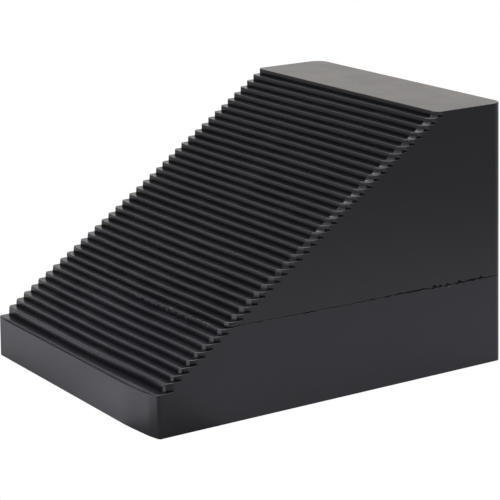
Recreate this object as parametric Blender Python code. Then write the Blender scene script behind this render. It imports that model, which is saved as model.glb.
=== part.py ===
"""Solid rubber wheel chock: a stepped wedge moulded as two blocks and bonded along one joint.

Metres, +Z up. +X is the width and -Y is the toe that goes under the tyre. The origin is on the
ground, in the middle of the footprint.
"""

import math

import bmesh
import bpy

MM = 0.001

# Envelope
WIDTH = 196 * MM
LENGTH = 251 * MM
HEIGHT = 164 * MM
TOE_HEIGHT = 26.4 * MM

# Ramp: a flight of small steps that grips the tyre. The first one is taller and set further back.
LEDGE_DEPTH = 7.5 * MM
FIRST_RISE = 5.4 * MM
RISE = 3.58 * MM
LOWER_STEPS = 8
LOWER_RUN = 5.32 * MM
UPPER_STEPS = 30
UPPER_RUN = 5.17 * MM
TOP_LENGTH = 51.5 * MM

# Joint between the blocks. It starts at the lower block's last tread and falls towards the rear.
JOINT_FALL = 1.9 * MM
BOND_THICKNESS = 0.6 * MM
BOND_SETBACK = 1.0 * MM
CLEARANCE = 0.3 * MM

# Vertical corners
STEP_RIGHT_RADIUS = 5.2 * MM
STEP_LEFT_RADIUS = 2.8 * MM
LOWER_REAR_RADIUS = 4.0 * MM
UPPER_REAR_RADIUS = 7.0 * MM
CORNER_SEGMENTS = 6

# Toe front: flat, then swept back on a large arc to the right-hand side, with small end corners
SWEEP_LENGTH = 34 * MM
SWEEP_RADIUS = 200 * MM
SWEEP_SEGMENTS = 6
TOE_CORNER_RADIUS = 3.0 * MM
TOE_LEFT_RADIUS = 0.9 * MM

FRONT = -LENGTH / 2
REAR = LENGTH / 2
SIDE = WIDTH / 2
LOWER_TOP = TOE_HEIGHT + FIRST_RISE + (LOWER_STEPS - 1) * RISE
UPPER_FRONT = REAR - TOP_LENGTH - (UPPER_STEPS - 1) * UPPER_RUN
SAME = 0.001 * MM


def arc(centre, radius, start, end, segments):
    """Points of an arc between two angles in degrees."""
    angles = [math.radians(start + (end - start) * i / segments) for i in range(segments + 1)]
    return [(centre[0] + radius * math.cos(a), centre[1] + radius * math.sin(a)) for a in angles]


def joint_height(y, above=0.0):
    """Height of the lower block's joint face at y, plus a distance above it."""
    return LOWER_TOP + above - JOINT_FALL * (y - UPPER_FRONT) / (REAR - UPPER_FRONT)


def stairs(first_y, first_z, run, rise, count):
    """Side outline of a flight: the foot and the nose of each step."""
    points = []
    for step in range(count):
        y = first_y + step * run
        points.append((y, first_z + step * rise))
        points.append((y, first_z + (step + 1) * rise))
    return points


def lower_outline():
    """Side outline of the lower block: toe, ledge, first flight and joint face."""
    first = FRONT + LEDGE_DEPTH
    points = [(FRONT, 0), (FRONT, TOE_HEIGHT), (first, TOE_HEIGHT), (first, TOE_HEIGHT + FIRST_RISE)]
    points += stairs(first + LOWER_RUN, TOE_HEIGHT + FIRST_RISE, LOWER_RUN, RISE, LOWER_STEPS - 1)
    return points + [(UPPER_FRONT, LOWER_TOP), (REAR, joint_height(REAR)), (REAR, 0)]


def bond_outline():
    """Side outline of the bond sheet, set back from the walls."""
    front, rear = UPPER_FRONT + BOND_SETBACK, REAR - BOND_SETBACK
    low, high = CLEARANCE, CLEARANCE + BOND_THICKNESS
    corners = [(front, low), (front, high), (rear, high), (rear, low)]
    return [(y, joint_height(y, above)) for y, above in corners]


def upper_outline():
    """Side outline of the upper wedge: second flight, flat top and joint face."""
    lift = 2 * CLEARANCE + BOND_THICKNESS
    first_nose = HEIGHT - (UPPER_STEPS - 1) * RISE
    points = [(UPPER_FRONT, joint_height(UPPER_FRONT, lift)), (UPPER_FRONT, first_nose)]
    points += stairs(UPPER_FRONT + UPPER_RUN, first_nose, UPPER_RUN, RISE, UPPER_STEPS - 1)
    return points + [(REAR, HEIGHT), (REAR, joint_height(REAR, lift))]


def toe_plan():
    """Plan outline with the toe's front. Its other sides stay outside the lower block."""
    sweep_start = SIDE - SWEEP_LENGTH
    angle = math.degrees(math.asin((SWEEP_LENGTH - TOE_CORNER_RADIUS) / SWEEP_RADIUS))
    sweep = arc((sweep_start, FRONT + SWEEP_RADIUS), SWEEP_RADIUS, -90, angle - 90, SWEEP_SEGMENTS)
    end_x, end_y = sweep[-1]
    inward = math.radians(angle + 90)
    centre = (
        end_x + TOE_CORNER_RADIUS * math.cos(inward),
        end_y + TOE_CORNER_RADIUS * math.sin(inward),
    )
    corner = arc(centre, TOE_CORNER_RADIUS, angle - 90, 0, CORNER_SEGMENTS)
    right = sweep + corner[1:]
    margin = SIDE - right[-1][0]
    right = [(x + margin, y) for x, y in right] + [(SIDE, REAR + TOE_HEIGHT)]
    centre = (TOE_LEFT_RADIUS - SIDE, FRONT + TOE_LEFT_RADIUS)
    left = arc(centre, TOE_LEFT_RADIUS, 180, 270, CORNER_SEGMENTS)
    return right + [(-SIDE, REAR + TOE_HEIGHT)] + left


def prism(name, outline, half_depth, material):
    """A closed mesh object: a filled 2D curve extruded both ways along its own Z."""
    curve = bpy.data.curves.new(name + "_outline", "CURVE")
    curve.dimensions = "2D"
    curve.fill_mode = "BOTH"
    curve.extrude = half_depth
    spline = curve.splines.new("POLY")
    spline.points.add(len(outline) - 1)
    for point, (u, v) in zip(spline.points, outline):
        point.co = (u, v, 0, 1)
    spline.use_cyclic_u = True
    guide = bpy.data.objects.new(name + "_outline", curve)
    bpy.context.scene.collection.objects.link(guide)
    evaluated = guide.evaluated_get(bpy.context.evaluated_depsgraph_get())
    mesh = bpy.data.meshes.new_from_object(evaluated)
    bpy.data.objects.remove(guide)
    mesh.name = name

    bm = bmesh.new()
    bm.from_mesh(mesh)
    bmesh.ops.remove_doubles(bm, verts=bm.verts, dist=SAME)
    bmesh.ops.dissolve_limit(bm, angle_limit=math.radians(0.1), verts=bm.verts, edges=bm.edges)
    bmesh.ops.recalc_face_normals(bm, faces=bm.faces)
    bm.to_mesh(mesh)
    bm.free()
    mesh.materials.append(material)
    return bpy.data.objects.new(name, mesh)


def block(name, outline, material):
    """A side outline in (y, z) extruded across the full width."""
    item = prism(name, outline, SIDE, material)
    item.rotation_euler = (math.radians(90), 0, math.radians(90))
    return item


def apply_rotation(item):
    bpy.context.view_layer.update()
    item.data.transform(item.matrix_world)
    item.matrix_world.identity()


def round_corners(item, radius, wanted):
    """Bevels the upright edges for which wanted(x, y) holds."""
    bm = bmesh.new()
    bm.from_mesh(item.data)
    edges = []
    for edge in bm.edges:
        a, b = (vertex.co for vertex in edge.verts)
        upright = math.dist(a.xy, b.xy) < SAME
        if upright and wanted(a.x, a.y):
            edges.append(edge)
    bmesh.ops.bevel(
        bm,
        geom=edges,
        offset=radius,
        offset_type="OFFSET",
        segments=CORNER_SEGMENTS,
        profile=0.5,
        affect="EDGES",
        clamp_overlap=False,
    )
    bm.to_mesh(item.data)
    bm.free()


def keep_inside(item, cutter):
    """Cuts away what lies outside the cutter."""
    cut = item.modifiers.new("Toe plan", "BOOLEAN")
    cut.operation = "INTERSECT"
    cut.solver = "EXACT"
    cut.object = cutter


def rubber(name, grey, roughness):
    material = bpy.data.materials.new(name)
    material.use_nodes = True
    shader = material.node_tree.nodes["Principled BSDF"]
    shader.inputs["Base Color"].default_value = (grey, grey, grey * 1.08, 1)
    shader.inputs["Roughness"].default_value = roughness
    shader.inputs["Metallic"].default_value = 0.0
    return material


def smooth(item):
    item.data.shade_smooth()
    item.data.set_sharp_from_angle(angle=math.radians(30))


def make_lower_block(parts, cutters):
    item = block("lower_block", lower_outline(), rubber("lower_rubber", 0.016, 0.45))
    parts.objects.link(item)
    apply_rotation(item)
    round_corners(item, STEP_RIGHT_RADIUS, lambda x, y: x > 0 and FRONT + SAME < y < REAR - SAME)
    round_corners(item, STEP_LEFT_RADIUS, lambda x, y: x < 0 and FRONT + SAME < y < REAR - SAME)
    round_corners(item, LOWER_REAR_RADIUS, lambda x, y: y > REAR - SAME)
    plan = prism("toe_plan", toe_plan(), 2 * LOWER_TOP, rubber("guide", 0.5, 0.5))
    plan.display_type = "WIRE"
    plan.hide_render = True
    cutters.objects.link(plan)
    keep_inside(item, plan)
    smooth(item)


def make_bond_layer(parts):
    item = prism("bond_layer", bond_outline(), SIDE - BOND_SETBACK, rubber("bond_rubber", 0.006, 0.8))
    item.rotation_euler = (math.radians(90), 0, math.radians(90))
    parts.objects.link(item)
    apply_rotation(item)
    smooth(item)


def make_upper_wedge(parts):
    item = block("upper_wedge", upper_outline(), rubber("upper_rubber", 0.014, 0.45))
    parts.objects.link(item)
    apply_rotation(item)
    round_corners(item, STEP_RIGHT_RADIUS, lambda x, y: x > 0 and y < REAR - SAME)
    round_corners(item, STEP_LEFT_RADIUS, lambda x, y: x < 0 and y < REAR - SAME)
    round_corners(item, UPPER_REAR_RADIUS, lambda x, y: y > REAR - SAME)
    smooth(item)


def main():
    for item in list(bpy.data.objects):
        bpy.data.objects.remove(item)
    parts = bpy.data.collections.new("wheel_chock")
    cutters = bpy.data.collections.new("cutters")
    for collection in (parts, cutters):
        bpy.context.scene.collection.children.link(collection)
    make_lower_block(parts, cutters)
    make_bond_layer(parts)
    make_upper_wedge(parts)


main()
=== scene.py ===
"""Looks for the rubber wheel chock: two moulded blocks with a stepped ramp, bonded along a ragged joint.

Metres, in the frame's axes: +X is the width, -Y is the toe, +Z is up. Steps are numbered up the ramp.
Step 0 is the toe's ledge, 1 to 8 are on the lower block and 9 to 38 on the upper wedge.
"""

import math

import bmesh
import bpy
from mathutils import Matrix, Vector, noise


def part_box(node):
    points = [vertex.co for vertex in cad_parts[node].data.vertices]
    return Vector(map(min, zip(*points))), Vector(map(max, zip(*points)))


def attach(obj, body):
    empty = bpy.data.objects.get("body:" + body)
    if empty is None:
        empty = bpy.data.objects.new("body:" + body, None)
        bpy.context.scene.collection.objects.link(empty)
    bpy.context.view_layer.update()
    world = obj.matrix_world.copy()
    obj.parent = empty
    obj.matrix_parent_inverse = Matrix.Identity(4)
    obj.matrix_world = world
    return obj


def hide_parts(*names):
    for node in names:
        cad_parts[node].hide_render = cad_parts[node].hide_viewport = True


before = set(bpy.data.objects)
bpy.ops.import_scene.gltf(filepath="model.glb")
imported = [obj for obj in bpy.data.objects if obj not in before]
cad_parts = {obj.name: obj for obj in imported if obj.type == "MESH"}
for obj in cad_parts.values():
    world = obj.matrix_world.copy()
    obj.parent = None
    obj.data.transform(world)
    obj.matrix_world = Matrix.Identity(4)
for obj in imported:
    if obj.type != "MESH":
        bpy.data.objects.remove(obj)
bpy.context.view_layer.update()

MM = 0.001

# Envelope, from the frame
LOWER_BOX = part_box("lower_block")
UPPER_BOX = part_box("upper_wedge")
SIDE = UPPER_BOX[1].x
FRONT = LOWER_BOX[0].y
REAR = UPPER_BOX[1].y
HEIGHT = UPPER_BOX[1].z
UPPER_FRONT = UPPER_BOX[0].y
LOWER_TOP = LOWER_BOX[1].z

# Ramp, as in the CAD part
TOE_HEIGHT = 26.4 * MM
LEDGE_DEPTH = 7.5 * MM
FIRST_RISE = 5.4 * MM
RISE = 3.58 * MM
LOWER_STEPS = 8
LOWER_RUN = 5.32 * MM
UPPER_STEPS = 30
UPPER_RUN = 5.17 * MM
LAST = LOWER_STEPS + UPPER_STEPS

# Noses: the rounded upper edges. The toe's is larger and flatter, and becomes like the others at its ends.
NOSE = 0.42 * MM
BOTTOM_NOSE = 0.4 * MM
TOE_NOSE, TOE_FLATNESS = 1.3 * MM, 1.8
TOE_NOSE_START, TOE_NOSE_FADE = 3 * MM, 9 * MM

# Step corners in plan: a crease, a facet and a flat arc that runs into the side wall
RIGHT_CORNER_LOW, RIGHT_CORNER_HIGH = 2.6 * MM, 4.4 * MM
RIGHT_CORNER_STEPS = 16
RIGHT_DEPTH = 5.8 * MM
LEFT_CORNER, LEFT_DEPTH = 3.6 * MM, 3.8 * MM
FACET_END = 0.9 * MM
FACET_TURN = math.radians(29)
ARC_END = math.radians(60)
CREASE_SUPPORT = 0.2 * MM

# Their feet: the arc is hollow, and a bead leans out under the crease. Flash widens it at the upper right.
FOOT_DEPTH_STEP = 0.1 * MM
FOOT_HOLLOW_START, FOOT_HOLLOW_END = 1.1 * MM, 1.9 * MM
FOOT_HOLLOW_GAP = 0.6 * MM
BEAD_LOW, BEAD_HIGH = 0.5 * MM, 0.25 * MM
BEAD_SHAPE = (0.0, 1.0, 1.0, 0.4)
BEAD_HOLLOW = 1.3
FLASH = 2.1 * MM
FLASH_START, FLASH_FADE = 10, 16
FLASH_UNEVENNESS = 0.3
FLASH_SPACING, FLASH_SEED = 0.77, (1.3, 3.1)

# Rear corners of both blocks, which widen upwards
REAR_RADIUS_LOW, REAR_RADIUS_HIGH = 3.4 * MM, 8.2 * MM

# Bow: how far the steps lie behind their places, at the left half and towards the right-hand wall
LEFT_BOW, LEFT_BOW_END = -1.3 * MM, 20
LEFT_BUMPS = ((0.4 * MM, 20, 5), (-0.6 * MM, 26, 4))  # size, middle step, reach in steps
RIGHT_BOW, RIGHT_BOW_START, RIGHT_BOW_FADE = 1.0 * MM, 18, 6
RIGHT_DIP, RIGHT_DIP_START, RIGHT_DIP_FADE, RIGHT_DIP_TOP_FADE = -0.8 * MM, 20, 8, 5
BOW_WIDTH = 85 * MM

# Unevenness of the noses: height, length along the nose, and two seeds
WAVES_BACK = ((0.14 * MM, 31 * MM, 0.37, 1.7), (0.05 * MM, 7 * MM, 0.53, 4.1))
WAVES_UP = ((0.14 * MM, 27 * MM, 0.41, 9.3), (0.05 * MM, 6 * MM, 0.59, 2.9))
WAVES_START, WAVES_FADE = 7 * MM, 14 * MM

# Toe front: straight at the left, swept back, creased and rounded at the right
TOE_LEFT_LOW, TOE_LEFT_HIGH = 0.9 * MM, 2.8 * MM
SWEEP_START = 38 * MM
SWEEP_RADIUS = 190 * MM
SWEEP_ANGLE = math.radians(4.8)
CREASE_LOW, CREASE_HIGH = 9.0 * MM, 7.4 * MM
CREASE_ANGLE, END_ANGLE = math.radians(10), math.radians(15)
TOE_CORNER = 2.0 * MM

# Joint: its line falls towards the rear and wanders a little. Distances are from the toe.
JOINT_FALL = 1.9 * MM
JOINT_MIDDLE = 0.6 * MM
FRONT_DROP = 0.42 * MM
WANDER = ((0.25 * MM, 23 * MM, 3.3 * MM), (0.16 * MM, 4 * MM, 8.1 * MM))  # height, length, seed
LEAST_GAP = 0.12 * MM
WIDE_GAP, WIDE_GAP_LENGTH, WIDE_GAP_SEED = 0.2 * MM, 12 * MM, 1.0 * MM
RAG_FRONT, RAG_REAR = 0.2 * MM, 0.75 * MM
RAG_START, RAG_END, RAG_FADE = 155 * MM, 225 * MM, 25 * MM
RAG_LENGTH = 2.1 * MM
LIP_INSETS = (0.0, 0.06 * MM, 0.2 * MM, 0.5 * MM, 1.2 * MM)
LIP_ROUNDING = (0.22 * MM, 0.08 * MM, 0.0)
LIP_HALF_GAP, LIP_TURN = 0.3 * MM, 0.4
PIT_SHARE_ABOVE = 0.75
PITS = (
    # distance from the toe, width, depth
    (58 * MM, 2.2 * MM, 0.5 * MM),
    (152 * MM, 5.0 * MM, 0.4 * MM),
    (163 * MM, 4.0 * MM, 0.5 * MM),
    (172 * MM, 5.0 * MM, 0.6 * MM),
    (186 * MM, 16.0 * MM, 0.7 * MM),
    (198.5 * MM, 2.2 * MM, 2.4 * MM),
    (203 * MM, 2.0 * MM, 1.5 * MM),
    (208.5 * MM, 2.2 * MM, 1.7 * MM),
    (217.5 * MM, 3.2 * MM, 1.5 * MM),
    (227 * MM, 9.0 * MM, 0.8 * MM),
    (234.5 * MM, 2.4 * MM, 1.9 * MM),
)

# The two steps at the joint are torn towards the right, the upper one slightly
TORN_START, TORN_FADE = -20 * MM, 40 * MM
TORN_SHARE_ABOVE = 0.2
TORN_RISE, TORN_DEPTH = 0.4 * MM, 0.7 * MM
TORN_LENGTH_UP, TORN_SEED_UP = 1.8 * MM, 6.2
TORN_LENGTH_BACK, TORN_SEED_BACK = 1.5 * MM, 0.4

# Bond sheet between the lips
BOND_SETBACK = 0.55 * MM
BOND_RAG, BOND_RAG_LENGTH, BOND_RAG_SEED = 0.3 * MM, 2.3 * MM, 6 * MM
BOND_HALF_THICKNESS = 0.25 * MM

# Rubber: tone, roughness and seed of each piece. A noise is its scale, detail and roughness.
LOWER_FINISH = (0.0028, 0.26, 3.1)
BOND_FINISH = (0.004, 0.8, 5.7)
UPPER_FINISH = (0.0018, 0.26, 8.3)
RUBBER_IOR = 1.4
SEED_OFFSET = (1.0, 0.7, 0.3)
MOTTLE_DARK, MOTTLE_LIGHT = (0.85, 0.84, 1.15), (1.15, 1.14, 1.5)
MOTTLE_NOISE = (22, 4, 0.6)
ROUGHNESS_SPREAD, ROUGHNESS_NOISE = 0.03, (45, 3, 0.5)
NOISE_LOW, NOISE_HIGH = 0.3, 0.7
GRAIN_STRENGTH, GRAIN_DEPTH, GRAIN_NOISE = 0.25, 0.03 * MM, (2600, 2, 0.5)
WAVY_STRENGTH, WAVY_DEPTH, WAVY_NOISE = 0.2, 0.1 * MM, (28, 1, 0.5)

# Light. Azimuths are measured about the object, from +X towards +Y.
WHITE = (1, 1, 1, 1)
LEAST_SQUARE, LEAST_LENGTH = 0.001, 0.01  # keep the divisions finite
ROOM_LEVEL = 0.06
BACKDROP_AZIMUTH = math.radians(147.6)
BACKDROP_HALF_WIDTH, BACKDROP_EDGE = math.radians(40), math.radians(9)
BACKDROP_LEVEL = 0.87
BACKDROP_TINT = (1.05, 1.0, 0.95, 1)
FILL_AZIMUTH = math.radians(292)
FILL_HALF_WIDTH, FILL_EDGE = math.radians(45), math.radians(8)
FILL_LEVEL = 0.8
OVERHEAD_LOW, OVERHEAD_HIGH = math.radians(20), math.radians(38)
OVERHEAD_LEVEL = 1.6
OVERHEAD_TINT = (0.99, 0.98, 1.07, 1)
TINT_LOW, TINT_HIGH = 0.3, 0.45
LAMP_LOW, LAMP_HIGH = math.radians(45), math.radians(58)
LAMP_LEVEL = 5.6

# Floor, in metres: a glow round the object, dimmer to one side and before the toe, with a glare and a strip
FLOOR_HALF_SIZE = 6.0
FLOOR_DROP = 0.2 * MM
FLOOR_TONE, FLOOR_ROUGHNESS = 0.15, 0.9
FLOOR_TINT = (0.98, 0.97, 1.09, 1)
FLOOR_NEAR, FLOOR_FAR = 0.635, 0.1
FLOOR_FADE_START, FLOOR_FADE_END = 0.25, 0.65
DIM_CENTRE = (0.05, -0.08)
DIM_AZIMUTH = math.radians(322)
DIM_INNER, DIM_OUTER = math.radians(20), math.radians(48)
DIM_LEVEL = 0.25
TOE_SHADE = 0.5
TOE_SHADE_END, TOE_SHADE_REACH = 0.03, 0.06
GLARE_LEFT, GLARE_RIGHT = (-0.05, 0.03), (0.06, 0.09)
GLARE = 0.62
STRIP_LEFT, STRIP_RIGHT = (0.03, 0.06), (0.16, 0.2)
STRIP_START = (-0.26, -0.19)
STRIP_LEVEL = 2.6

# Camera: to the front right and a little above, turned slightly about its own axis
CAMERA_POSITION = (1.03655, -0.65454, 0.39652)
CAMERA_AZIMUTH, CAMERA_ELEVATION = math.radians(57.599), math.radians(14.901)
CAMERA_ROLL = math.radians(-1.1399)
SENSOR_WIDTH, FOCAL_LENGTH = 36, 146.17

# Mesh density
SAME = 1e-6
SHARP = math.radians(38)
ACROSS = 124
CROWDING = 0.4
RISER_ROWS = 5
TREAD_ROWS = 2
SIDE_COLUMNS = 2
NOSE_SEGMENTS = 4
ARC_SEGMENTS = 7
CORNER_LAST = NOSE_SEGMENTS + ARC_SEGMENTS + 4
TOE_CORNER_COLUMNS = 8
TOE_END_COLUMNS = 5
TOE_FACET_COLUMNS = 4
TOE_SWEEP_COLUMNS = 6
REAR_CORNER_ROWS = 8
JOINT_STEP = 0.55 * MM
PLAIN_STEP = 12 * MM

NOSE_ROWS = range(NOSE_SEGMENTS + 1)
NOSE_ANGLES = [math.radians(90 * j / NOSE_SEGMENTS) for j in NOSE_ROWS]


def mix(a, b, t):
    return a + (b - a) * t


def ease(t):
    t = min(max(t, 0.0), 1.0)
    return t * t * (3 - 2 * t)


def grain(x, y, z, size):
    """Smooth noise between about -1 and 1, with features of the given size."""
    return noise.noise(Vector((x / size, y / size, z / size)))


def joint_height(y):
    """Height of the lower block's joint face at y."""
    return LOWER_TOP - JOINT_FALL * (y - UPPER_FRONT) / (REAR - UPPER_FRONT)


def rear_radius(z):
    return mix(REAR_RADIUS_LOW, REAR_RADIUS_HIGH, z / HEIGHT)


# Steps


def step_front(k):
    if k == 0:
        return FRONT
    if k <= LOWER_STEPS:
        return FRONT + LEDGE_DEPTH + (k - 1) * LOWER_RUN
    return UPPER_FRONT + (k - LOWER_STEPS - 1) * UPPER_RUN


def step_top(k):
    if k == 0:
        return TOE_HEIGHT
    if k <= LOWER_STEPS:
        return TOE_HEIGHT + FIRST_RISE + (k - 1) * RISE
    return HEIGHT - (LAST - k) * RISE


def corner_size(k, side):
    """How far a step's crease is from the wall, and how far behind the front its corner ends."""
    if side < 0:
        return LEFT_CORNER, LEFT_DEPTH
    return mix(RIGHT_CORNER_LOW, RIGHT_CORNER_HIGH, ease(k / RIGHT_CORNER_STEPS)), RIGHT_DEPTH


def bump(k, centre, reach):
    return ease(1 - abs(k - centre) / reach)


def bow(k, x):
    """How far a step's whole front lies behind its place in the CAD part. The mould was not quite true."""
    left = LEFT_BOW * (1 - ease(k / LEFT_BOW_END))
    left += sum(size * bump(k, centre, reach) for size, centre, reach in LEFT_BUMPS)
    right = RIGHT_BOW * (1 - ease((k - RIGHT_BOW_START) / RIGHT_BOW_FADE))
    right += RIGHT_DIP * ease((k - RIGHT_DIP_START) / RIGHT_DIP_FADE) * ease((LAST - k) / RIGHT_DIP_TOP_FADE)
    return mix(left, right, ease(x / BOW_WIDTH))


def nose(k, x):
    """Radius and flatness of a step's nose at x. A flatness of 1 is round and 2 is a plain chamfer."""
    share = ease((SIDE - abs(x) - TOE_NOSE_START) / TOE_NOSE_FADE) if k == 0 else 0.0
    return mix(NOSE, TOE_NOSE, share), mix(1.0, TOE_FLATNESS, share)


def inset(j, radius, flatness=1.0):
    """How far row j of a nose lies inside the wall below it."""
    return radius * (1 - math.cos(NOSE_ANGLES[j]) ** flatness)


def nose_height(j, radius, flatness=1.0):
    """How far row j of a nose lies below the tread."""
    return radius * (1 - math.sin(NOSE_ANGLES[j]) ** flatness)


def corner_spots(k, side):
    """A step's corner in plan, from the side wall.

    Each spot is the distance from the side, the distance behind the front and the normal's angle from
    straight out to the side.
    """
    size, depth = corner_size(k, side)
    facet_depth = (size - FACET_END) * math.tan(FACET_TURN)
    width, length = FACET_END / (1 - math.cos(ARC_END)), (depth - facet_depth) / math.sin(ARC_END)
    spots = []
    for i in range(CORNER_LAST - 3):
        a = ARC_END * i / (CORNER_LAST - 4)
        normal = math.atan2(width * math.sin(a), length * math.cos(a))
        spots.append((width * (1 - math.cos(a)), depth - length * math.sin(a), normal))
    facet = math.pi / 2 - FACET_TURN
    support = CREASE_SUPPORT / (size - FACET_END)
    for t in (support, 1 - support):
        spots.append((mix(FACET_END, size, t), facet_depth * (1 - t), facet))
    return spots + [(size, 0.0, facet + FACET_TURN / 2), (size + CREASE_SUPPORT, 0.0, math.pi / 2)]


def foot_spots(k, side):
    """The corner's foot, from the side wall: the distances from the side and behind the front.

    The first spots climb the nose of the tread below, the next are the hollow and the last the bead.
    """
    size, depth = corner_size(k, side)
    spots = [(inset(j, NOSE), depth - j * FOOT_DEPTH_STEP) for j in NOSE_ROWS]
    top = corner_spots(k, side)
    hollow_start = spots[NOSE_SEGMENTS][1] - FOOT_HOLLOW_GAP / 2
    hollow_end = top[CORNER_LAST - 4][1] + FOOT_HOLLOW_GAP
    for i in range(1, ARC_SEGMENTS + 1):
        t = i / ARC_SEGMENTS
        spots.append((mix(FOOT_HOLLOW_START, FOOT_HOLLOW_END, t), mix(hollow_start, hollow_end, t)))
    for share, (x, y, _) in zip(BEAD_SHAPE, top[CORNER_LAST - 3 :]):
        spots.append((x, y - share * bead(k, side)))
    return spots


def bead(k, side):
    """How far the bead under a crease leans out at its foot. The step over the joint has none."""
    if k == LOWER_STEPS + 1:
        return 0.0
    flash = FLASH * ease((k - FLASH_START) / FLASH_FADE) if side > 0 else 0.0
    uneven = 1 + FLASH_UNEVENNESS * grain(k * FLASH_SPACING, *FLASH_SEED, 1.0)
    return mix(BEAD_LOW, BEAD_HIGH, k / LAST) + flash * uneven


def crowd(t):
    """Share of the way across at column t, with more columns at the right."""
    return t * mix(1 - CROWDING, 1, t)


def stations(k):
    """Plan points of a step's outline with their outward normals, from the right wall to the left."""
    y = step_front(k)
    ends = {}
    for side in (1, -1):
        ends[side] = []
        for dx, dy, a in corner_spots(k, side):
            ends[side].append(((side * (SIDE - dx), y + dy), (side * math.cos(a), -math.sin(a))))
    right, left = ends[1][-1][0][0], ends[-1][-1][0][0]
    middle = [((mix(right, left, crowd(i / ACROSS)), y), (0.0, -1.0)) for i in range(1, ACROSS)]
    return [((x, y + bow(k, x)), normal) for (x, y), normal in ends[1] + middle + ends[-1][::-1]]


def toe_right_spots(z):
    """The toe's right end in plan, from the side wall. It is rounded, creased and swept back.

    Each spot is the distance from the side, the distance behind the front and the normal's angle from
    straight ahead.
    """
    crease = mix(CREASE_LOW, CREASE_HIGH, z / TOE_HEIGHT)
    sweep_end = SWEEP_START - SWEEP_RADIUS * math.sin(SWEEP_ANGLE)
    sweep_depth = SWEEP_RADIUS * (1 - math.cos(SWEEP_ANGLE))
    crease_depth = sweep_depth + (sweep_end - crease) * math.tan(SWEEP_ANGLE)
    corner_width = TOE_CORNER * (1 - math.sin(END_ANGLE))
    end_width = crease - corner_width
    end_depth = crease_depth + end_width * math.tan((CREASE_ANGLE + END_ANGLE) / 2)
    end_bulge = end_width * math.tan(END_ANGLE - CREASE_ANGLE) / 8

    spots = []
    for i in range(TOE_CORNER_COLUMNS + 1):
        a = mix(math.pi / 2, END_ANGLE, i / TOE_CORNER_COLUMNS)
        depth = end_depth + TOE_CORNER * (math.cos(END_ANGLE) - math.cos(a))
        spots.append((TOE_CORNER * (1 - math.sin(a)), depth, a))
    for i in range(1, TOE_END_COLUMNS + 1):
        t = i / TOE_END_COLUMNS
        depth = mix(end_depth, crease_depth, t) - 4 * t * (1 - t) * end_bulge
        spots.append((mix(corner_width, crease, t), depth, mix(END_ANGLE, CREASE_ANGLE, t)))
    for i in range(1, TOE_FACET_COLUMNS + 1):
        t = i / TOE_FACET_COLUMNS
        spots.append((mix(crease, sweep_end, t), mix(crease_depth, sweep_depth, t), SWEEP_ANGLE))
    for i in range(1, TOE_SWEEP_COLUMNS + 1):
        a = mix(SWEEP_ANGLE, 0, i / TOE_SWEEP_COLUMNS)
        spots.append((SWEEP_START - SWEEP_RADIUS * math.sin(a), SWEEP_RADIUS * (1 - math.cos(a)), a))
    return spots


def toe_left_spots(z):
    """The toe's left corner in plan, as toe_right_spots."""
    radius = mix(TOE_LEFT_LOW, TOE_LEFT_HIGH, z / TOE_HEIGHT)
    turns = [mix(math.pi / 2, 0.0, i / TOE_CORNER_COLUMNS) for i in range(TOE_CORNER_COLUMNS + 1)]
    return [(radius * (1 - math.sin(a)), radius * (1 - math.cos(a)), a) for a in turns]


def toe_stations(z=0.0):
    """As stations, for the toe at height z."""
    half = CORNER_LAST + ACROSS // 2 + 1
    right, left = toe_right_spots(z), toe_left_spots(z)
    count, start = half - len(right), right[-1][0]
    right += [(mix(start, SIDE, i / count), 0.0, 0.0) for i in range(1, count + 1)]
    count, start = half - len(left), left[-1][0]
    left += [(mix(start, SIDE, i / count), 0.0, 0.0) for i in range(1, count)]
    right = [((SIDE - dx, FRONT + dy), (math.sin(a), -math.cos(a))) for dx, dy, a in right]
    left = [((dx - SIDE, FRONT + dy), (-math.sin(a), -math.cos(a))) for dx, dy, a in left]
    return right + left[::-1]


def outline(k):
    return toe_stations(TOE_HEIGHT) if k == 0 else stations(k)


def waves(k, x, layers):
    return sum(height * grain(x, k * spacing, seed, length) for height, length, spacing, seed in layers)


def unevenness(k, x):
    """How far a step's nose lies off its place at x: (y, z). It dies away at the corners."""
    if k in (0, LAST):
        return 0.0, 0.0
    dy, dz = waves(k, x, WAVES_BACK), waves(k, x, WAVES_UP)
    if k in (LOWER_STEPS, LOWER_STEPS + 1):
        torn = ease((x - TORN_START) / TORN_FADE) * (1.0 if k == LOWER_STEPS else TORN_SHARE_ABOVE)
        dz += torn * (TORN_RISE + TORN_DEPTH * grain(x, k, TORN_SEED_UP, TORN_LENGTH_UP))
        dy -= torn * TORN_DEPTH * grain(x, k, TORN_SEED_BACK, TORN_LENGTH_BACK)
    fade = ease((SIDE - abs(x) - WAVES_START) / WAVES_FADE)
    return dy * fade, dz * fade


# Meshes


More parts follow.
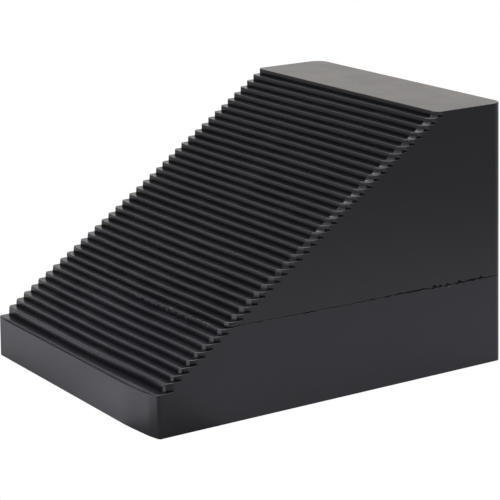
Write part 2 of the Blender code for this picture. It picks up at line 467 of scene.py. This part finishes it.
class Shell:
    """Collects strips of faces that share their border points, and closes them into one mesh."""

    def __init__(self):
        self.bm = bmesh.new()

    def grid(self, rows):
        made = [[self.bm.verts.new(p) for p in row] for row in rows]
        for a, b in zip(made, made[1:]):
            for i in range(len(a) - 1):
                self.polygon((a[i], a[i + 1], b[i + 1], b[i]))

    def polygon(self, verts):
        """A face without the corners that coincide, if three are left."""
        kept = [v for i, v in enumerate(verts) if (v.co - verts[i - 1].co).length > SAME]
        if len(kept) > 2:
            self.bm.faces.new(kept)

    def face(self, points):
        self.polygon([self.bm.verts.new(p) for p in points])

    def finish(self, name, material):
        bm = self.bm
        bmesh.ops.remove_doubles(bm, verts=bm.verts, dist=2 * SAME)
        bmesh.ops.delete(bm, geom=[v for v in bm.verts if not v.link_faces], context="VERTS")
        bmesh.ops.holes_fill(bm, edges=[e for e in bm.edges if e.is_boundary], sides=0)
        bmesh.ops.recalc_face_normals(bm, faces=bm.faces)
        print(name, len(bm.faces), "faces,", sum(not e.is_manifold for e in bm.edges), "open edges")
        mesh = bpy.data.meshes.new(name)
        bm.to_mesh(mesh)
        bm.free()
        mesh.materials.append(material)
        mesh.shade_smooth()
        mesh.set_sharp_from_angle(angle=SHARP)
        item = bpy.data.objects.new(name, mesh)
        bpy.context.scene.collection.objects.link(item)
        weighted = item.modifiers.new("Weighted normals", "WEIGHTED_NORMAL")
        weighted.keep_sharp = True
        return item


def place(spot, d, z):
    """A point d inside a plan station, at height z."""
    (x, y), (nx, ny) = spot
    return (x - nx * d, y - ny * d, z)


def ring(sections, d, z):
    """Each section's points, d inside its stations at height z."""
    return [[place(spot, d, z) for spot in section] for section in sections]


def between(a, b, count):
    """Rows of points from row a to row b, both included."""
    return [[Vector(p).lerp(Vector(q), i / count) for p, q in zip(a, b)] for i in range(count + 1)]


def spaced(a, b, step):
    """Values from a to b, both included, about a step apart."""
    count = max(1, round(abs(b - a) / step))
    return [mix(a, b, i / count) for i in range(count + 1)]


def rows_of(columns):
    return [list(row) for row in zip(*columns)]


def joined(sections):
    return [item for section in sections for item in section]


def nose_rows(k):
    """The rounded nose of a step, row by row from the wall up to the tread, along its outline only."""
    rows = []
    for j in NOSE_ROWS:
        row = []
        for spot in outline(k):
            dy, dz = unevenness(k, spot[0][0])
            shape = nose(k, spot[0][0])
            x, y, z = place(spot, inset(j, *shape), step_top(k) - nose_height(j, *shape))
            row.append((x, y + dy, z + dz))
        rows.append(row)
    return rows


def foot_row(k):
    """Where a step's riser stands on the tread below. Its ends climb down that tread's sides."""
    points = [(x, y + unevenness(k, x)[0]) for (x, y), _ in stations(k)]
    last = len(points) - 1
    for side in (1, -1):
        for i, (dx, dy) in enumerate(foot_spots(k, side)):
            x = side * (SIDE - dx)
            points[i if side > 0 else last - i] = (x, step_front(k) + dy + bow(k, x))
    row = []
    for i, (x, y) in enumerate(points):
        j = min(i, last - i, NOSE_SEGMENTS)
        row.append((x, y, step_top(k - 1) - nose_height(j, NOSE)))
    return row


def side_row(k, j, side):
    """Row j of a step's nose along a side wall, from the next step's foot to just short of its own corner."""
    start = foot_row(k + 1)[::side][j][1]
    end = outline(k)[::side][0][0][1]
    x, z = side * (SIDE - inset(j, NOSE)), step_top(k) - nose_height(j, NOSE)
    return [(x, mix(start, end, i / SIDE_COLUMNS), z) for i in range(SIDE_COLUMNS)]


def riser_rows(k, foot, top):
    """Rows of a riser. The bead at its right end is hollow, so that it is steepest at the top."""
    rows = between(foot, top, RISER_ROWS)
    for i, row in enumerate(rows):
        t = i / RISER_ROWS
        for column, share in enumerate(BEAD_SHAPE, CORNER_LAST - 3):
            row[column].y += BEAD_HOLLOW * t * (1 - t) * share * bead(k, 1)
    return rows


def add_nose(shell, k, noses):
    """A step's nose, across its front and back along both side walls."""
    shell.grid([side_row(k, j, 1) + noses[j] + side_row(k, j, -1)[::-1] for j in NOSE_ROWS])


def add_tread(shell, k):
    """The flat between a nose and the next step's foot. Each corner is one face."""
    outer, inner = nose_rows(k)[-1], foot_row(k + 1)
    j, first = NOSE_SEGMENTS, CORNER_LAST
    last = len(inner) - 1 - first
    strip = between(outer[first : last + 1], inner[first : last + 1], TREAD_ROWS)
    shell.grid(strip)
    middle = strip[1:-1]
    right, left = side_row(k, j, 1), side_row(k, j, -1)
    shell.face(right + outer[: first + 1] + [row[0] for row in middle] + inner[j : first + 1][::-1])
    outer, inner = outer[::-1], inner[::-1]
    shell.face(left + outer[: first + 1] + [row[-1] for row in middle] + inner[j : first + 1][::-1])


def rear_sections(right, left, radius, step):
    """Plan stations round the rear in five sections.

    They go from y = right on the right wall to y = left on the left wall.
    """
    back = REAR - radius
    quarter = [math.pi / 2 * i / ARC_SEGMENTS for i in range(ARC_SEGMENTS + 1)]
    turn = [(math.cos(a), math.sin(a)) for a in quarter]
    inner = SIDE - radius
    return [
        [((SIDE, y), (1.0, 0.0)) for y in spaced(right, back, step)],
        [((inner + radius * c, back + radius * s), (c, s)) for c, s in turn],
        [((x, REAR), (0.0, 1.0)) for x in spaced(inner, -inner, 2 * step)],
        [((-inner - radius * c, back + radius * s), (-c, s)) for c, s in turn[::-1]],
        [((-SIDE, y), (-1.0, 0.0)) for y in spaced(back, left, 2 * step)],
    ]


def add_rear_corners(shell, low, high):
    """The two rear corners between the edge rows of two rings, given in sections."""
    for section in (1, 3):
        shell.grid(between(low[section], high[section], REAR_CORNER_ROWS))


# The joint. Its two lips are ragged, with a few pits torn out of them.


def joint_sections():
    """Plan stations of the joint along the walls and the rear, from the upper wedge's front."""
    front = stations(LOWER_STEPS + 1)
    return rear_sections(front[0][0][1], front[-1][0][1], rear_radius(joint_height(REAR)), JOINT_STEP)


def joint_middle(x, y):
    """Middle of the joint's line on the walls."""
    wander = sum(height * grain(x, y, seed, length) for height, length, seed in WANDER)
    return joint_height(y) + JOINT_MIDDLE + wander


def joint_gap(x, y, lip):
    """Half of the joint's opening on the walls: lip is 1 for the upper block and -1 for the lower."""
    from_toe = y - FRONT
    ragged = ease((from_toe - RAG_START) / RAG_FADE) * (1 - ease((from_toe - RAG_END) / RAG_FADE))
    gap = LEAST_GAP + mix(RAG_FRONT, RAG_REAR, ragged) * max(0.0, grain(x, y, lip * MM, RAG_LENGTH))
    gap += WIDE_GAP * max(0.0, grain(x, y, WIDE_GAP_SEED, WIDE_GAP_LENGTH))
    share = PIT_SHARE_ABOVE if lip > 0 else 1 - PIT_SHARE_ABOVE
    for where, width, depth in PITS:
        gap += share * depth * math.exp(-(((from_toe - where) / (0.5 * width)) ** 2))
    return gap


def lip_column(spot, lip, drop=0.0):
    """One column of a lip: from the wall's edge round into the joint."""
    (x, y), _ = spot
    edge = joint_middle(x, y) + lip * joint_gap(x, y, lip) - drop
    inner = joint_height(y) + JOINT_MIDDLE + lip * LIP_HALF_GAP - drop
    heights = [edge + lip * rounding for rounding in LIP_ROUNDING] + [mix(edge, inner, LIP_TURN), inner]
    return [place(spot, d, z) for d, z in zip(LIP_INSETS, heights)]


# Pieces


def build_upper(material):
    shell = Shell()
    first = LOWER_STEPS + 1
    front = stations(first)

    # The lip of the joint goes round the walls and along the foot of the first riser
    lips = [[lip_column(spot, 1) for spot in section] for section in joint_sections()]
    feet = []
    for i, spot in enumerate(front):
        from_end = min(i, len(front) - 1 - i)
        feet.append(lip_column(spot, 1, ease(from_end / CORNER_LAST) * FRONT_DROP))
    shell.grid(rows_of(joined(lips) + feet[::-1]))

    for k in range(first, LAST + 1):
        foot = [column[0] for column in feet] if k == first else foot_row(k)
        noses = nose_rows(k)
        shell.grid(riser_rows(k, foot, noses[0]))
        if k < LAST:
            add_nose(shell, k, noses)
            add_tread(shell, k)

    # The nose of the flat top goes all the way round
    noses = nose_rows(LAST)
    sections = rear_sections(noses[0][0][1], noses[0][-1][1], rear_radius(HEIGHT), PLAIN_STEP)
    rings = [ring(sections, inset(j, NOSE), HEIGHT - nose_height(j, NOSE)) for j in NOSE_ROWS]
    shell.grid([joined(rings[j]) + noses[j][::-1] for j in NOSE_ROWS])
    add_rear_corners(shell, [[column[0] for column in section] for section in lips], rings[0])
    return shell.finish("upper_wedge_skin", material)


def build_lower(material):
    shell = Shell()
    toe = toe_stations()

    # Bottom edge, toe front, treads
    sections = rear_sections(toe[0][0][1], toe[-1][0][1], rear_radius(0), PLAIN_STEP) + [toe[::-1]]
    bottom = [ring(sections, inset(j, BOTTOM_NOSE), nose_height(j, BOTTOM_NOSE)) for j in NOSE_ROWS]
    shell.grid([joined(row) for row in bottom])
    for k in range(LOWER_STEPS + 1):
        noses = nose_rows(k)
        if k == 0:
            shell.grid(between(bottom[0][-1][::-1], noses[0], RISER_ROWS))
        else:
            shell.grid(riser_rows(k, foot_row(k), noses[0]))
        add_nose(shell, k, noses)
        add_tread(shell, k)

    # The lip of the joint starts where the last nose ends on each wall
    lips = [[lip_column(spot, -1) for spot in section] for section in joint_sections()]
    for side, column in ((1, lips[0][0]), (-1, lips[-1][-1])):
        column[:] = [side_row(LOWER_STEPS, j, side)[0] for j in NOSE_ROWS]
    shell.grid(rows_of(joined(lips)))
    add_rear_corners(shell, bottom[0], [[column[0] for column in section] for section in lips])
    return shell.finish("lower_block_skin", material)


def build_bond(material):
    """The thin sheet in the joint, with a torn outline that shows between the lips."""
    shell = Shell()
    walls, front = joined(joint_sections()), stations(LOWER_STEPS + 1)[::-1]
    low, high = [], []
    for spots, drop in ((walls, 0.0), (front, FRONT_DROP)):
        for spot in spots:
            (x, y), _ = spot
            d = BOND_SETBACK + BOND_RAG * grain(x, y, BOND_RAG_SEED, BOND_RAG_LENGTH)
            middle = joint_height(y) + JOINT_MIDDLE - drop
            low.append(place(spot, d, middle - BOND_HALF_THICKNESS))
            high.append(place(spot, d, middle + BOND_HALF_THICKNESS))
    shell.grid([low + low[:1], high + high[:1]])
    return shell.finish("bond_layer_skin", material)


# Rubber


def rubber(name, tone, roughness, seed):
    """Black moulded rubber: mottled, slightly wavy and finely grained."""
    material = bpy.data.materials.new(name)
    material.use_nodes = True
    nodes, links = material.node_tree.nodes, material.node_tree.links
    shader = nodes["Principled BSDF"]
    shader.inputs["IOR"].default_value = RUBBER_IOR
    shader.inputs["Metallic"].default_value = 0.0
    coordinates = nodes.new("ShaderNodeTexCoord")
    mapping = nodes.new("ShaderNodeMapping")
    mapping.inputs["Location"].default_value = [seed * share for share in SEED_OFFSET]
    links.new(coordinates.outputs["Object"], mapping.inputs["Vector"])

    def cloud(scale, detail, rough):
        node = nodes.new("ShaderNodeTexNoise")
        node.inputs["Scale"].default_value = scale
        node.inputs["Detail"].default_value = detail
        node.inputs["Roughness"].default_value = rough
        links.new(mapping.outputs["Vector"], node.inputs["Vector"])
        return node.outputs["Fac"]

    def spread(value, low, high):
        node = nodes.new("ShaderNodeMapRange")
        node.inputs["From Min"].default_value = NOISE_LOW
        node.inputs["From Max"].default_value = NOISE_HIGH
        node.inputs["To Min"].default_value = low
        node.inputs["To Max"].default_value = high
        links.new(value, node.inputs["Value"])
        return node.outputs["Result"]

    def relief(height, strength, depth):
        node = nodes.new("ShaderNodeBump")
        node.inputs["Strength"].default_value = strength
        node.inputs["Distance"].default_value = depth
        links.new(height, node.inputs["Height"])
        return node

    ramp = nodes.new("ShaderNodeValToRGB")
    stops = ((NOISE_LOW, MOTTLE_DARK), (NOISE_HIGH, MOTTLE_LIGHT))
    for stop, (position, colour) in zip(ramp.color_ramp.elements, stops):
        stop.position = position
        stop.color = [tone * part for part in colour] + [1]
    links.new(cloud(*MOTTLE_NOISE), ramp.inputs["Fac"])
    links.new(ramp.outputs["Color"], shader.inputs["Base Color"])
    rough = spread(cloud(*ROUGHNESS_NOISE), roughness - ROUGHNESS_SPREAD, roughness + ROUGHNESS_SPREAD)
    links.new(rough, shader.inputs["Roughness"])
    fine = relief(cloud(*GRAIN_NOISE), GRAIN_STRENGTH, GRAIN_DEPTH)
    wavy = relief(cloud(*WAVY_NOISE), WAVY_STRENGTH, WAVY_DEPTH)
    links.new(fine.outputs["Normal"], wavy.inputs["Normal"])
    links.new(wavy.outputs["Normal"], shader.inputs["Normal"])
    return material


# Studio


class Maths:
    """Short calls for shader maths, so that a formula reads as one."""

    def __init__(self, tree):
        self.nodes, self.links = tree.nodes, tree.links

    def put(self, socket, value):
        if isinstance(value, (int, float, tuple)):
            socket.default_value = value
        else:
            self.links.new(value, socket)

    def calc(self, operation, a, b=0.0):
        node = self.nodes.new("ShaderNodeMath")
        node.operation = operation
        self.put(node.inputs[0], a)
        self.put(node.inputs[1], b)
        return node.outputs["Value"]

    def add(self, a, b):
        return self.calc("ADD", a, b)

    def times(self, a, b):
        return self.calc("MULTIPLY", a, b)

    def most(self, a, b):
        return self.calc("MAXIMUM", a, b)

    def length(self, x, y):
        return self.calc("SQRT", self.add(self.times(x, x), self.times(y, y)))

    def along(self, x, y, azimuth):
        """Horizontal distance along an azimuth."""
        return self.add(self.times(x, math.cos(azimuth)), self.times(y, math.sin(azimuth)))

    def fade(self, value, low, high, at_low=0.0, at_high=1.0):
        """Goes smoothly from at_low to at_high as value goes from low to high."""
        node = self.nodes.new("ShaderNodeMapRange")
        node.interpolation_type = "SMOOTHSTEP"
        for name, number in (("From Min", low), ("From Max", high), ("To Min", at_low), ("To Max", at_high)):
            self.put(node.inputs[name], number)
        self.put(node.inputs["Value"], value)
        return node.outputs["Result"]

    def axes(self, vector):
        node = self.nodes.new("ShaderNodeSeparateXYZ")
        self.links.new(vector, node.inputs["Vector"])
        return node.outputs["X"], node.outputs["Y"], node.outputs["Z"]

    def blend(self, factor, a, b):
        """A colour between a and b. Each may be a colour or a socket."""
        node = self.nodes.new("ShaderNodeMix")
        node.data_type = "RGBA"
        self.put(node.inputs["Factor"], factor)
        for socket, value in ((node.inputs["A"], a), (node.inputs["B"], b)):
            self.put(socket, value)
        return node.outputs["Result"]


def build_world(scene):
    """A backdrop behind the object, a fill in front of it, a soft light overhead and a dim room.

    The camera itself sees plain white.
    """
    world = bpy.data.worlds.new("studio")
    scene.world = world
    world.use_nodes = True
    nodes, links = world.node_tree.nodes, world.node_tree.links
    m = Maths(world.node_tree)
    x, y, z = m.axes(nodes.new("ShaderNodeTexCoord").outputs["Generated"])
    level = m.calc("SQRT", m.most(m.calc("SUBTRACT", 1.0, m.times(z, z)), LEAST_SQUARE))

    def panel(azimuth, half_width, edge, brightness):
        facing = m.calc("DIVIDE", m.along(x, y, azimuth), level)
        outside, inside = math.cos(half_width + edge), math.cos(half_width - edge)
        return m.fade(facing, outside, inside, ROOM_LEVEL, brightness)

    backdrop = panel(BACKDROP_AZIMUTH, BACKDROP_HALF_WIDTH, BACKDROP_EDGE, BACKDROP_LEVEL)
    fill = panel(FILL_AZIMUTH, FILL_HALF_WIDTH, FILL_EDGE, FILL_LEVEL)
    overhead = m.fade(z, math.sin(OVERHEAD_LOW), math.sin(OVERHEAD_HIGH), 0.0, OVERHEAD_LEVEL)
    lamp = m.fade(z, math.sin(LAMP_LOW), math.sin(LAMP_HIGH), 0.0, LAMP_LEVEL)
    light = m.most(m.most(backdrop, fill), m.add(overhead, lamp))
    low_tint = m.blend(m.fade(backdrop, ROOM_LEVEL, BACKDROP_LEVEL), OVERHEAD_TINT, BACKDROP_TINT)
    tint = m.blend(m.fade(z, TINT_LOW, TINT_HIGH), low_tint, OVERHEAD_TINT)
    seen = nodes.new("ShaderNodeLightPath").outputs["Is Camera Ray"]
    background = nodes["Background"]
    links.new(m.blend(seen, tint, WHITE), background.inputs["Color"])
    links.new(m.most(light, seen), background.inputs["Strength"])


def floor_glow(m, x, y):
    """How brightly the floor glows at x and y."""
    glow = m.fade(m.length(x, y), FLOOR_FADE_START, FLOOR_FADE_END, FLOOR_NEAR, FLOOR_FAR)
    near_x, near_y = m.calc("SUBTRACT", x, DIM_CENTRE[0]), m.calc("SUBTRACT", y, DIM_CENTRE[1])
    reach = m.most(m.length(near_x, near_y), LEAST_LENGTH)
    facing = m.calc("DIVIDE", m.along(near_x, near_y, DIM_AZIMUTH), reach)
    dim = m.fade(facing, math.cos(DIM_OUTER), math.cos(DIM_INNER), 1.0, DIM_LEVEL)

    # Before the toe, up to its right-hand end
    shade = m.fade(m.times(y, -1.0), -FRONT, TOE_SHADE_REACH - FRONT, TOE_SHADE, 1.0)
    glare = m.times(m.fade(x, *GLARE_LEFT, 0.0, GLARE), m.fade(x, *GLARE_RIGHT, 1.0, 0.0))
    shade = m.times(shade, m.add(glare, 1.0))
    shade = m.most(shade, m.fade(x, SIDE - TOE_SHADE_END, SIDE))

    across = m.times(m.fade(x, *STRIP_LEFT), m.fade(x, *STRIP_RIGHT, 1.0, 0.0))
    strip = m.times(across, m.fade(y, *STRIP_START, STRIP_LEVEL, 0.0))
    return m.add(m.times(m.times(glow, dim), shade), strip)


def floor_material():
    """A pale floor that glows, so that the walls reflect it. The camera itself sees plain white."""
    material = bpy.data.materials.new("floor")
    material.use_nodes = True
    nodes, links = material.node_tree.nodes, material.node_tree.links
    m = Maths(material.node_tree)
    x, y, _ = m.axes(nodes.new("ShaderNodeTexCoord").outputs["Object"])
    lit = nodes["Principled BSDF"]
    lit.inputs["Base Color"].default_value = (FLOOR_TONE, FLOOR_TONE, FLOOR_TONE, 1)
    lit.inputs["Roughness"].default_value = FLOOR_ROUGHNESS
    lit.inputs["Specular IOR Level"].default_value = 0.0
    lit.inputs["Emission Color"].default_value = FLOOR_TINT
    links.new(floor_glow(m, x, y), lit.inputs["Emission Strength"])
    white = nodes.new("ShaderNodeEmission")
    either = nodes.new("ShaderNodeMixShader")
    links.new(nodes.new("ShaderNodeLightPath").outputs["Is Camera Ray"], either.inputs["Fac"])
    links.new(lit.outputs["BSDF"], either.inputs[1])
    links.new(white.outputs["Emission"], either.inputs[2])
    links.new(either.outputs["Shader"], nodes["Material Output"].inputs["Surface"])
    return material


def build_studio():
    scene = bpy.context.scene
    scene.view_settings.view_transform = "Standard"
    scene.view_settings.look = "None"
    build_world(scene)

    mesh = bpy.data.meshes.new("floor")
    corners = [(x * FLOOR_HALF_SIZE, y * FLOOR_HALF_SIZE, 0) for x, y in ((-1, -1), (1, -1), (1, 1), (-1, 1))]
    mesh.from_pydata(corners, [], [(0, 1, 2, 3)])
    floor = bpy.data.objects.new("floor", mesh)
    scene.collection.objects.link(floor)
    floor.location.z = -FLOOR_DROP
    mesh.materials.append(floor_material())


def build_camera():
    flat = math.cos(CAMERA_ELEVATION)
    sine, cosine = math.sin(CAMERA_AZIMUTH), math.cos(CAMERA_AZIMUTH)
    back = Vector((sine * flat, -cosine * flat, math.sin(CAMERA_ELEVATION)))
    right = Vector((cosine, sine, 0))
    up = back.cross(right)
    tilted_right = right * math.cos(CAMERA_ROLL) + up * math.sin(CAMERA_ROLL)
    tilted_up = up * math.cos(CAMERA_ROLL) - right * math.sin(CAMERA_ROLL)
    data = bpy.data.cameras.new("camera")
    data.sensor_width = SENSOR_WIDTH
    data.lens = FOCAL_LENGTH
    camera = bpy.data.objects.new("camera", data)
    bpy.context.scene.collection.objects.link(camera)
    turn = Matrix((tilted_right, tilted_up, back)).transposed().to_4x4()
    camera.matrix_world = Matrix.Translation(CAMERA_POSITION) @ turn
    bpy.context.scene.camera = camera


def main():
    lower = build_lower(rubber("lower_rubber_finish", *LOWER_FINISH))
    bond = build_bond(rubber("bond_rubber_finish", *BOND_FINISH))
    upper = build_upper(rubber("upper_rubber_finish", *UPPER_FINISH))
    for piece, node, slot in (
        (lower, "lower_block", "lower_rubber"),
        (bond, "bond_layer", "bond_rubber"),
        (upper, "upper_wedge", "upper_rubber"),
    ):
        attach(piece, "root")
        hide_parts(node)
    build_studio()
    build_camera()


main()
